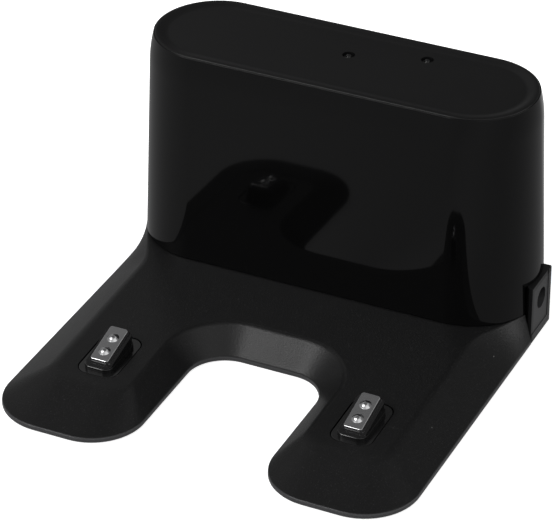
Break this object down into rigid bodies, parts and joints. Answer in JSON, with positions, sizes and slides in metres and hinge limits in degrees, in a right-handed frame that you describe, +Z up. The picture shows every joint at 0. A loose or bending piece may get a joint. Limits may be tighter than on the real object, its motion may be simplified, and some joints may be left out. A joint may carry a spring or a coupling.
{
  "type": "robot vacuum charging dock",
  "caption": "Charging dock for a robot vacuum: low U-shaped foot with ramped sprung charging contacts on its prongs and a pill-shaped tower with a supply inlet at its side.",
  "frame": {"origin": "middle of the footprint on the floor", "axes": "+Z up, -Y out of the open side of the U, +X towards the supply inlet"},
  "size_m": [0.15, 0.1522, 0.0909],
  "materials": {
    "cover_plastic": "fine spark-eroded texture",
    "plate_plastic": "fine texture",
    "tower_plastic": "smooth dark infrared-clear plastic",
    "cap_plastic": "fine texture",
    "bezel_plastic": "fine texture",
    "jack_plastic": "moulded",
    "pin_metal": "plated",
    "carrier_plastic": "smooth moulded",
    "contact_metal": "plated sheet",
    "spring_steel": "drawn wire",
    "terminal_brass": "stamped sheet",
    "lead_sheath": "soft sheath",
    "board_laminate": "solder mask",
    "inner_plastic": "moulded",
    "lamp_resin": "cast resin",
    "pipe_resin": "smoked resin",
    "screw_steel": "zinc plated",
    "foot_rubber": "moulded"
  },
  "bodies": {
    "dock": {"base_cover": "cover_plastic", "base_plate": "plate_plastic", "tower_shell": "tower_plastic", "top_cap": "cap_plastic", "jack_bezel": "bezel_plastic", "dc_jack": "jack_plastic", "jack_pin": "pin_metal", "contact_spring_left": "spring_steel", "contact_spring_right": "spring_steel", "contact_terminal_left": "terminal_brass", "contact_terminal_right": "terminal_brass", "contact_lead_left": "lead_sheath", "contact_lead_right": "lead_sheath", "supply_lead": "lead_sheath", "control_board": "board_laminate", "board_bracket": "inner_plastic", "lamp_shade": "inner_plastic", "signal_lamps": "lamp_resin", "light_pipes": "pipe_resin", "indicator_board": "board_laminate", "base_screws": "screw_steel", "tower_screws": "screw_steel", "board_screws": "screw_steel", "foot_front_left": "foot_rubber", "foot_front_right": "foot_rubber", "foot_rear_left": "foot_rubber", "foot_rear_right": "foot_rubber"},
    "contact_left": {"contact_carrier_left": "carrier_plastic", "contact_plate_left": "contact_metal"},
    "contact_right": {"contact_carrier_right": "carrier_plastic", "contact_plate_right": "contact_metal"}
  },
  "joints": [
    {"name": "contact_left_press", "type": "slide", "parent": "dock", "child": "contact_left", "axis": [0, 0, -1], "range_m": [0, 0.002], "stiffness_N_per_m": 400, "springref_m": -0.002, "deforming": ["contact_spring_left"]},
    {"name": "contact_right_press", "type": "slide", "parent": "dock", "child": "contact_right", "axis": [0, 0, -1], "range_m": [0, 0.002], "stiffness_N_per_m": 400, "springref_m": -0.002, "deforming": ["contact_spring_right"]}
  ]
}
